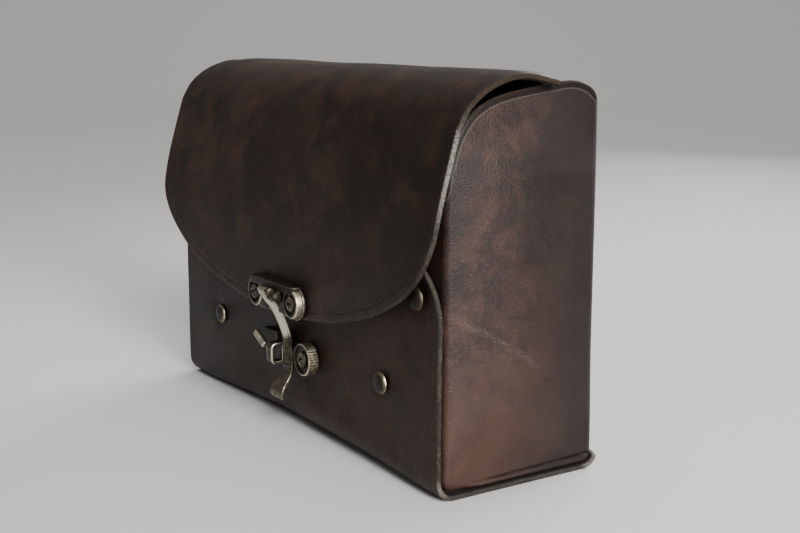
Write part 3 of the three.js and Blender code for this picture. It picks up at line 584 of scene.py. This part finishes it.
# Antique brass: a brown-black patina, rubbed back through bronze to pale metal on what is touched. On the
# hook and on the upper rivets the wear it reads also paints light and shade.
def antique_brass():
    material, shade = finish_named("antique_brass")
    place = shade.node("ShaderNodeTexCoord", out="Object")
    wear = shade.node("ShaderNodeAttribute", {"attribute_name": "wear"}, out="Fac")
    cloud = shade.cloud(place, 260, 5, 0.65, 0.4)
    spots = shade.cloud(place, 1700, 4, 0.7)
    brushed = shade.cloud(shade.stretched(place, (600, 5200, 3200), (0.2, 0.1, 0.4)), 1, 3, 0.6)
    bare = (wear + (cloud * 0.45 + spots * 0.35 + brushed * 0.2 - 0.5) * 1.6).span(0.02, 0.95)
    patina, bronze, metal = (0.014, 0.012, 0.009, 1), (0.1, 0.085, 0.056, 1), (0.76, 0.69, 0.53, 1)
    stops = [(0, patina), (0.45, bronze), (1, metal)]
    colour = shade.node("ShaderNodeValToRGB", {"stops": stops}, {"Fac": bare})
    bump = shade.node("ShaderNodeBump", {}, {"Strength": 0.3, "Distance": 0.00012,
                                             "Height": spots * 0.7 + brushed * 0.5 + cloud * 0.6})
    close_finish(shade, {"Base Color": colour, "Roughness": 0.46 - bare * 0.2 + spots * 0.12,
                         "Metallic": 0.75 + bare * 0.25, "Normal": bump})
    return material


brass = antique_brass()


# One solid metal piece out of shells that run into each other
def metal_piece(name, shells, body, nodes, angle=32):
    form = bmesh.new()
    wear = form.faces.layers.float.new("wear")
    for points, faces, worn in shells:
        made = [form.verts.new(p) for p in points]
        for face, share in zip(faces, worn):
            form.faces.new([made[n] for n in face])[wear] = share
    bmesh.ops.remove_doubles(form, verts=form.verts, dist=1e-4)
    bmesh.ops.dissolve_degenerate(form, edges=form.edges, dist=1e-5)
    bmesh.ops.recalc_face_normals(form, faces=form.faces)
    for v in form.verts:
        v.co = (v.co - Vector((0, MIDDLE_Y, 0))) * MM
    mesh = bpy.data.meshes.new(name)
    form.to_mesh(mesh)
    form.free()
    mesh.polygons.foreach_set("use_smooth", np.ones(len(mesh.polygons), bool))
    mesh.set_sharp_from_angle(angle=math.radians(angle))
    mesh.materials.append(brass)
    piece = bpy.data.objects.new(name, mesh)
    bpy.context.collection.objects.link(piece)
    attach(piece, body)
    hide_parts(*nodes)


# Cap, post and flat tail of a rivet: radius, height above the seat, wear
CAP = [(0, 1.75, 0.16), (1.1, 1.72, 0.16), (2.1, 1.6, 0.18), (2.9, 1.36, 0.25), (3.5, 0.98, 0.5),
       (3.9, 0.5, 0.75), (4.05, 0.15, 0.4), (4.02, -0.05, 0.1), (3.8, -0.15, 0), (1.6, -0.15, 0)]


# The seat is at y, the cap points forward (-1) or back (1), and rubbed scales its wear; a low value paints
# shade on a cap
def rivet_shell(x, y, z, stack, way, rubbed=1):
    tail = [(1.6, -stack, 0.2), (3.8, -stack - 0.25, 0.3), (3.8, -stack - 1.2, 0.3),
            (3.4, -stack - 1.4, 0.3), (0, -stack - 1.4, 0.3)]
    return turned([(r, y + way * (LAYER_GAP + h), wear * rubbed) for r, h, wear in CAP + tail], x, z)


# The upper caps lie in the flap's shadow: their halved wear is painted shade
for (x, z), row, stack, rubbed in zip(RIVETS, ("upper", "lower"), (5.6, 2.8), (0.5, 1)):
    for side, name in SIDES:
        cap = rivet_shell(side * x, dish(x, z), z, stack, -1, rubbed)
        metal_piece(f"rivet_cap_{row}_{name}", [cap], "bag", [f"rivet_{row}_{name}"])

# Upper fitting of the clasp: a brass casting on the flap, with a base plate, a round cup for each
# screw, a hood along the top and two lugs that hold the hinge pin.
PLATE_Z, PLATE_HALF, PLATE_HALF_HEIGHT = 53.6, 21, 6.6
PLATE_BACK, PLATE_FRONT, CUP_FRONT = -5.4, -6.4, -9.0
CUP_RADIUS, CUP_INNER = 5.7, 4.2
HOOD_LOW, HOOD_TOP, HOOD_HALF, HOOD_CORNER, HOOD_Y = 57.4, 60.2, 17.4, 2.6, -7.2
PIVOT_Y, PIVOT_Z = -10.8, 55.2
UPPER_SCREW_X, LUG_INNER, LUG_OUTER = 14.6, 4.8, 7.8


# Rounds the edges of a form and gives its shell, with one wear for the flats and one for the edges
def eased(form, offset, flat, edge, sharper_than=28, segments=3):
    bmesh.ops.recalc_face_normals(form, faces=form.faces)
    sharp = [e for e in form.edges if e.calc_face_angle(0) > math.radians(sharper_than)]
    bmesh.ops.bevel(form, geom=sharp, offset=offset, segments=segments, profile=0.5, affect="EDGES",
                    material=1)
    form.verts.index_update()
    shell = ([tuple(v.co) for v in form.verts], [[v.index for v in f.verts] for f in form.faces],
             [edge if f.material_index else flat for f in form.faces])
    form.free()
    return shell


# A casting: an outline in two axes, pushed along the third
def cast(outline, axes, low, high, offset, flat, edge, segments=3):
    form = bmesh.new()
    a, b, c = axes

    def at(p, depth):
        q = [0, 0, 0]
        q[a], q[b], q[c] = p[0], p[1], depth
        return form.verts.new(q)

    near = [at(p, low) for p in outline]
    far = [at(p, high) for p in outline]
    form.faces.new(near)
    form.faces.new(far[::-1])
    for n in range(len(outline)):
        m = (n + 1) % len(outline)
        form.faces.new((near[n], near[m], far[m], far[n]))
    return eased(form, offset, flat, edge, 28, segments)


def stadium(half_length, half_height, z, steps=20):
    straight = half_length - half_height
    right = [(straight + half_height * math.cos(a), z + half_height * math.sin(a))
             for a in np.linspace(-math.pi / 2, math.pi / 2, steps)]
    return right + [(-x, 2 * z - w) for x, w in right]


def block(x0, x1, z0, z1):
    return [(x0, z0), (x1, z0), (x1, z1), (x0, z1)]


def disc(u, v, radius, steps=32):
    turns = np.linspace(0, 2 * math.pi, steps + 1)[:-1]
    return [(u + radius * math.cos(a), v + radius * math.sin(a)) for a in turns]


ACROSS_FRONT = (0, 2, 1)
ACROSS_SIDE = (1, 2, 0)
ACROSS_TOP = (0, 1, 2)


# A round cup with a thin raised rim, open to the front, its floor below the rim
def cup(x, z, radius, back, front, inner, floor, wall_wear, around=72, reed=lambda ring, angle: 1):
    profile = [(0, back, 0), (radius, back, wall_wear), (radius, front + 0.6, wall_wear),
               (radius - 0.1, front + 0.25, 0.8), (radius - 0.3, front + 0.05, 0.6),
               (radius - 0.5, front, 0.3), (inner + 0.3, front, 0.3), (inner + 0.1, front + 0.1, 0.1),
               (inner, front + 0.35, 0), (inner - 0.1, floor - 0.15, 0.1), (inner - 0.35, floor, 0.2),
               (0, floor, 0.2)]
    return turned(profile, x, z, around, reed)


plate_shells = [cast(stadium(PLATE_HALF, PLATE_HALF_HEIGHT, PLATE_Z), ACROSS_FRONT, PLATE_BACK, PLATE_FRONT,
                     0.3, 0.25, 0.5)]
for side, _ in SIDES:
    x = side * UPPER_SCREW_X
    plate_shells.append(cup(x, PLATE_Z, CUP_RADIUS, PLATE_BACK - 0.2, CUP_FRONT, CUP_INNER, CUP_FRONT + 1,
                            0.7))
    inner, outer = sorted((side * LUG_INNER, side * 10.6))
    plate_shells.append(cast(block(inner, outer, 48.6, 59.2), ACROSS_FRONT, PLATE_BACK - 0.2,
                             CUP_FRONT + 0.4, 0.5, 0.1, 0.25))
    inner, outer = sorted((side * LUG_INNER, side * LUG_OUTER))
    plate_shells.append(cast(disc(PIVOT_Y, PIVOT_Z, 1.75), ACROSS_SIDE, inner, outer, 0.4, 0.14, 0.2))
    plate_shells.append(cast([(PIVOT_Y, 53.5), (-8.2, 52.8), (-8.2, 57.8), (PIVOT_Y, 56.9)], ACROSS_SIDE,
                             inner + 0.1, outer - 0.1, 0.3, 0.12, 0.18))
plate_shells.append(cast(block(-6, 6, 52.4, 59.2), ACROSS_FRONT, PLATE_BACK - 0.2, -7.0, 0.3, 0, 0.1))
quarter = np.linspace(0, math.pi / 2, 8)
straight = HOOD_HALF - HOOD_CORNER
hood = [(-HOOD_HALF, PLATE_BACK - 0.1), (HOOD_HALF, PLATE_BACK - 0.1)]
hood += [(straight + HOOD_CORNER * math.cos(a), HOOD_Y - HOOD_CORNER * math.sin(a)) for a in quarter]
hood += [(-straight - HOOD_CORNER * math.sin(a), HOOD_Y - HOOD_CORNER * math.cos(a)) for a in quarter]
plate_shells.append(cast(hood, ACROSS_TOP, HOOD_LOW, HOOD_TOP, 0.35, 0.06, 0.35))
metal_piece("clasp_upper", plate_shells, "bag", ["clasp_plate"])

# Hinge pin of the clasp: a short brass pin through both lugs and the eye of the hook, with each
# end peened over into a low head.
pin = [(0, 8.15), (0.5, 8.12), (0.85, 8.02), (1.05, 7.88), (1.1, 7.7)]
profile = [(r, -h, 0.25) for r, h in pin] + [(r, h, 0.25) for r, h in pin[::-1]]
points, faces, worn = turned(profile, 0, 0, 32)
points = [(y, PIVOT_Y + x, PIVOT_Z + z) for x, y, z in points]
metal_piece("hinge_pin", [(points, faces, worn)], "bag", ["clasp_pin"])

# Hook of the clasp: a bowed brass strap that turns on the pin at its thick top. A slot in it drops
# over the stud, and its end curls out into a finger tip. The upper bow is bright in its middle, partly from
# wear and partly as a painted highlight, with painted shade on its edges, at its top and below.
ARM_ROWS, ARM_LOW_HALF, ARM_TOP_HALF = 112, 3.5, 4.4
SLOT_LOW, SLOT_TOP, SLOT_COLUMNS = 25.7, 33.3, (3, 7)
arm_front = smooth_line([(-12.4, 58.2), (-13.8, 57.5), (-13.5, 55.9), (-12.4, 54.2), (-11.1, 52.4),
                         (-9, 49.6), (-7.2, 46.6), (-5, 41.4), (-3.5, 36.2), (-2.75, 30.6), (-2.65, 26.6),
                         (-3.1, 23.6), (-4.5, 20.9), (-6.6, 18.4), (-7.75, 15.6), (-7, 13)], ARM_ROWS)
arm_back = smooth_line([(-9.6, 57.2), (-9.4, 55.6), (-9.2, 53.4), (-8, 51.2), (-6.8, 49.2), (-5.6, 46.9),
                        (-3.5, 41.2), (-2.05, 36.3), (-1.25, 30.7), (-1.15, 26.5), (-1.7, 23.2),
                        (-3.3, 20.1), (-5.4, 17.6), (-6.25, 15.5), (-5.6, 13.4)], ARM_ROWS)
arm_columns = [-1, -0.87, -0.72, -0.58, -0.29, 0, 0.29, 0.58, 0.72, 0.87, 1]
slot_rows = [n for n, (y, z) in enumerate(arm_front) if SLOT_LOW < z < SLOT_TOP]


# A point of the strap, which narrows downwards: its face is crowned, and the finger tip is scooped
def bowed(line, across, row, crown):
    y, z = line[row]
    tip = max(0, row / (ARM_ROWS - 1) - 0.84) / 0.16
    half_width = mix(ARM_LOW_HALF, ARM_TOP_HALF, ease((z - 32) / 20)) + 1.2 * math.sin(2.4 * tip)
    crown = crown * mix(0.35, 1, ease((z - 33) / 6)) - 0.8 * tip
    return (across * half_width, y + crown * across**2, z)


# Where the middle of each face is
def middles_of(points, faces):
    return [np.mean([points[n] for n in face], axis=0) for face in faces]


form = bmesh.new()
front = [[form.verts.new(bowed(arm_front, x, n, 1.0)) for x in arm_columns] for n in range(ARM_ROWS)]
back = [[form.verts.new(bowed(arm_back, x, n, 0)) for x in arm_columns] for n in range(ARM_ROWS)]
cells = {(n, m) for n in range(ARM_ROWS - 1) for m in range(len(arm_columns) - 1)
         if not (slot_rows[0] <= n < slot_rows[-1] and SLOT_COLUMNS[0] <= m < SLOT_COLUMNS[1])}
for n, m in sorted(cells):
    form.faces.new((front[n][m], front[n][m + 1], front[n + 1][m + 1], front[n + 1][m]))
    form.faces.new((back[n][m], back[n + 1][m], back[n + 1][m + 1], back[n][m + 1]))
    for near, a, b in (((n - 1, m), (n, m), (n, m + 1)), ((n + 1, m), (n + 1, m + 1), (n + 1, m)),
                       ((n, m - 1), (n + 1, m), (n, m)), ((n, m + 1), (n, m + 1), (n + 1, m + 1))):
        if near not in cells:
            form.faces.new((front[b[0]][b[1]], front[a[0]][a[1]], back[a[0]][a[1]], back[b[0]][b[1]]))
for v in [v for v in form.verts if not v.link_faces]:
    form.verts.remove(v)
points, faces, worn = eased(form, 0.3, 0, 1, 40)
arm_wear = []
for (x, _, z), edge in zip(middles_of(points, faces), worn):
    # Painted light: the bow is bright in its middle and darker below and at the top, and its edges are
    # darker
    bow_wear_and_painted_light = 0.75 * ease((z - 35) / 6) - 0.4 * ease((z - 51) / 5) + 0.12 * ease((22 - z) / 4)
    painted_edge_shade = 0.4 * ease((abs(x) - 1.8) / 2.2) * (z > 34)
    arm_wear.append(0.3 + float(bow_wear_and_painted_light - painted_edge_shade) + 0.15 * edge)
eye = cast(disc(PIVOT_Y, PIVOT_Z, 1.7), ACROSS_SIDE, -ARM_TOP_HALF, ARM_TOP_HALF, 0.3, 0.05, 0.15)
metal_piece("hook_arm", [(points, faces, arm_wear), eye], "hook", ["clasp_hook"], 40)

# Lower fitting of the clasp: a brass casting on the front panel, with a bar, a reeded drum round
# its screw, a stud that the hook drops over, a keeper loop beside it and a slanted fin.
STAPLE_Z, STAPLE_BACK = 31, 0.3
DRUM_X, DRUM_FRONT, DRUM_RADIUS, DRUM_INNER = 13.6, -3.8, 6.3, 5.3
KEEPER_LEFT, KEEPER_RIGHT, KEEPER_THICK = -9.6, -5.2, 1.3


def reeded(ring, angle):
    return 1 + (0.018 * math.sin(34 * angle) if ring in (1, 2) else 0)


staple_shells = [cast(stadium(13, 4.6, STAPLE_Z), ACROSS_FRONT, STAPLE_BACK, -0.7, 0.25, 0.05, 0.2),
                 cup(DRUM_X, STAPLE_Z, DRUM_RADIUS, STAPLE_BACK, DRUM_FRONT, DRUM_INNER, DRUM_FRONT + 0.9,
                     0.45, 204, reeded)]
fin = [(-24, 33.8), (-16.6, 38.2), (-6.4, 38.2), (-6.4, 34.6), (-15.8, 29.4)]
staple_shells.append(cast(fin, ACROSS_FRONT, STAPLE_BACK, -4.4, 0.7, 0.08, 0.3, 4))
lip = [(-24, 33.8), (-22.4, 36.2), (-14.4, 32), (-15.8, 29.4)]
staple_shells.append(cast(lip, ACROSS_FRONT, -3, -5.6, 0.9, 0.55, 0.65, 5))
staple_shells.append(cast(block(-1.7, 1.7, 26.4, 32.6), ACROSS_FRONT, 0, -2.9, 0.3, 0.3, 0.4))


# The keeper's outline in y and z, drawn in from the outside by an inset
def loop_line(inset):
    low, high, front, bend = 25 + inset, 33.8 - inset, -6.8 + inset, 2.4 - inset * 0.8
    turns = np.linspace(0, math.pi / 2, 7)
    upper = [(front + bend - bend * math.sin(a), high - bend + bend * math.cos(a)) for a in turns]
    lower = [(front + bend - bend * math.cos(a), low + bend - bend * math.sin(a)) for a in turns]
    foot = 0 if inset == 0 else -0.7 - inset
    return [(foot, high)] + upper + lower + [(foot, low)]


outside, inside = loop_line(0), loop_line(KEEPER_THICK)
form = bmesh.new()
rings = [[form.verts.new((x, y, z)) for y, z in line]
         for line in (outside, inside) for x in (KEEPER_LEFT, KEEPER_RIGHT)]
for n in range(len(outside)):
    m = (n + 1) % len(outside)
    for a, b in ((0, 1), (1, 3), (3, 2), (2, 0)):
        form.faces.new((rings[a][n], rings[b][n], rings[b][m], rings[a][m]))
points, faces, worn = eased(form, 0.4, 0.3, 0.9, 40)
hollow = [-5.6 < y < -1.9 and 26.2 < z < 32.6 for _, y, z in middles_of(points, faces)]
staple_shells.append((points, faces, [0 if inner else wear for wear, inner in zip(worn, hollow)]))
metal_piece("clasp_lower", staple_shells, "bag", ["staple_plate"])

# Clasp screws: domed cross-head screws in antique brass, two in the upper fitting and one in the
# drum, each with a round nut behind the leather.
CROSS_REACH, CROSS_HALF = 1.9, 0.42
SCREW_AROUND = 96
HEAD = [(0.15, 1.5), (0.42, 1.49), (0.7, 1.47), (1, 1.44), (1.3, 1.39), (1.6, 1.33), (1.85, 1.27),
        (2, 1.22), (2.3, 1.1), (2.6, 0.92), (2.85, 0.72), (3.05, 0.45), (3.1, 0.25), (3.1, 0)]


# A domed head whose cross is pressed in: rings of points sink where the cross is
def screw_shell(x, z, seat, nut, turn):
    points, worn = [], []
    for radius, height in HEAD:
        for n in range(SCREW_AROUND):
            a = 2 * math.pi * n / SCREW_AROUND
            u, v = radius * math.cos(a + turn), radius * math.sin(a + turn)
            arm = min(abs(math.cos(a)), abs(math.sin(a))) * radius
            pressed = ease((CROSS_HALF + 0.12 - arm) / 0.22) * ease((CROSS_REACH - radius) / 0.25)
            points.append((x + u, seat - height + 0.75 * pressed, z + v))
            worn.append(0.42 - 0.42 * float(pressed) - 0.2 * float(ease((radius - 2.6) / 0.4)))
    shank = [(1.5, seat), (1.5, nut), (3.0, nut), (3.0, nut + 0.8), (2.8, nut + 1.0), (0.3, nut + 1.0)]
    for radius, y in shank:
        for n in range(SCREW_AROUND):
            a = 2 * math.pi * n / SCREW_AROUND
            points.append((x + radius * math.cos(a + turn), y, z + radius * math.sin(a + turn)))
            worn.append(0.3)
    faces = ring_faces(len(HEAD) + len(shank), SCREW_AROUND)
    worn = worn[:len(faces)] + [0.1, 0.3]
    faces.append(tuple(range(SCREW_AROUND - 1, -1, -1)))
    faces.append(tuple(range(len(points) - SCREW_AROUND, len(points))))
    return points, faces, worn


for (side, name), turn in zip(SIDES, (0.4, 0.25)):
    screw = screw_shell(side * UPPER_SCREW_X, PLATE_Z, CUP_FRONT + 0.75, -2.2, turn)
    metal_piece("screw_head_upper_" + name, [screw], "bag", ["screw_upper_" + name])
screw = screw_shell(DRUM_X, STAPLE_Z, DRUM_FRONT + 0.65, 3.6, 0.6)
metal_piece("screw_head_lower", [screw], "bag", ["screw_lower"])

# Belt loops: two straps of the same leather on the back, riveted at both ends and standing off in
# the middle so that a belt runs through.
LOOP_X, LOOP_WIDTH, LOOP_TOP, LOOP_LOW, BELT_ROOM = 48, 28, 108, 18, 6.5
STRAP_RIVETS = (("top", 100.5), ("low", 25.5))
lie, stand = DEPTH + LAYER_GAP + LEATHER, DEPTH + BELT_ROOM + LEATHER
loop_half = [(lie, LOOP_TOP), (lie, 100.5), (lie, 93), ((lie + stand) / 2, 88.5), (stand, 84), (stand, 73.5)]
loop_path = smooth_line(loop_half + [(y, LOOP_TOP + LOOP_LOW - z) for y, z in loop_half[::-1]], 121)
strap_leather = waxed_leather("strap_leather", strip_browns, grain=0.6, wrinkle=0.5, crease=0.7, band=0.2,
                              gloss=0.16, side_scuff_and_painted_light=0)
for side, name in SIDES:
    across = np.linspace(LOOP_WIDTH / 2 - RIM, -LOOP_WIDTH / 2 + RIM, 29)
    strap = np.array([[(side * LOOP_X + x, y, z) for x in across] for y, z in loop_path])
    loop = leather_wall("belt_strap_" + name, strap.reshape(-1, 3), grid_faces(*strap.shape[:2]),
                        grid_border(*strap.shape[:2]), [strap_leather, tan_flesh, dark_edge])
    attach(loop, "bag")
    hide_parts("belt_loop_" + name)
    for level, z in STRAP_RIVETS:
        rivet = rivet_shell(side * LOOP_X, lie, z, 5.4, 1)
        metal_piece(f"strap_rivet_{level}_{name}", [rivet], "bag", [f"loop_rivet_{level}_{name}"])

# Floor, light and camera: pale paper that curves up all round like a wide dish, a soft key light at
# the right, a low one beside it, weaker ones all round, and the photograph's camera.
SWEEP, ROUND = 1.6, 72
dish_line = [(0.5, 0), (1.1, 0), (SWEEP, 0)]
dish_line += [(SWEEP + SWEEP * math.sin(a), SWEEP - SWEEP * math.cos(a)) for a in np.linspace(0.1, 1.5, 15)]
dish_line += [(3.2, 3.6)]
paper_points = [(0, 0, 0)] + [(r * math.cos(a), r * math.sin(a), rise) for r, rise in dish_line
                              for a in np.linspace(0, 2 * math.pi, ROUND, endpoint=False)]
paper_faces = [(0, 1 + n, 1 + (n + 1) % ROUND) for n in range(ROUND)]
for ring in range(len(dish_line) - 1):
    for n in range(ROUND):
        a, b = 1 + ring * ROUND + n, 1 + ring * ROUND + (n + 1) % ROUND
        paper_faces.append((a, a + ROUND, b + ROUND, b))
floor = bpy.data.meshes.new("floor")
floor.from_pydata(paper_points, [], paper_faces)
floor.polygons.foreach_set("use_smooth", np.ones(len(paper_faces), bool))
paper, shade = finish_named("pale_paper")
close_finish(shade, {"Base Color": (0.55, 0.54, 0.53, 1), "Roughness": 0.9})
floor.materials.append(paper)
ground = bpy.data.objects.new("floor", floor)
bpy.context.collection.objects.link(ground)

world = bpy.data.worlds.new("studio")
world.use_nodes = True
world.node_tree.nodes["Background"].inputs["Color"].default_value = (0.8, 0.81, 0.83, 1)
world.node_tree.nodes["Background"].inputs["Strength"].default_value = 0.2
bpy.context.scene.world = world


def softbox(name, place, aim, size, power, spread=180):
    light = bpy.data.lights.new(name, "AREA")
    light.size = size
    light.energy = power
    light.spread = math.radians(spread)
    lamp = bpy.data.objects.new(name, light)
    lamp.location = place
    lamp.rotation_euler = (Vector(aim) - Vector(place)).to_track_quat("-Z", "Y").to_euler()
    bpy.context.collection.objects.link(lamp)


softbox("key", (1.05, -0.28, 0.85), (0, 0, 0.07), 0.5, 6, 100)
softbox("side", (1.2, -0.1, 0.4), (0, 0, 0.1), 0.4, 2.4, 60)
softbox("front", (-0.9, -1.0, 0.9), (0, 0, 0.07), 0.6, 1.4)
softbox("left", (-0.7, 1.05, 0.3), (0, 0, 0.05), 0.4, 1.1, 60)
softbox("back", (-0.15, 1.15, 0.55), (0, 0, 0.05), 0.5, 1.4, 60)
softbox("top", (-0.1, 0.1, 2.4), (0, 0, 0.1), 1.8, 17)
softbox("backdrop", (-0.9, 1.0, 2.2), (-2.4, 1.6, 0.6), 1.2, 22)

view = bpy.data.cameras.new("camera")
view.lens = 57.06
view.sensor_width = 36
camera = bpy.data.objects.new("camera", view)
camera.location = (0.4274, (-228.4 - MIDDLE_Y) * MM, 0.15725)
camera.rotation_euler = (math.radians(79.16), 0, math.radians(56.9))
bpy.context.collection.objects.link(camera)
bpy.context.scene.camera = camera
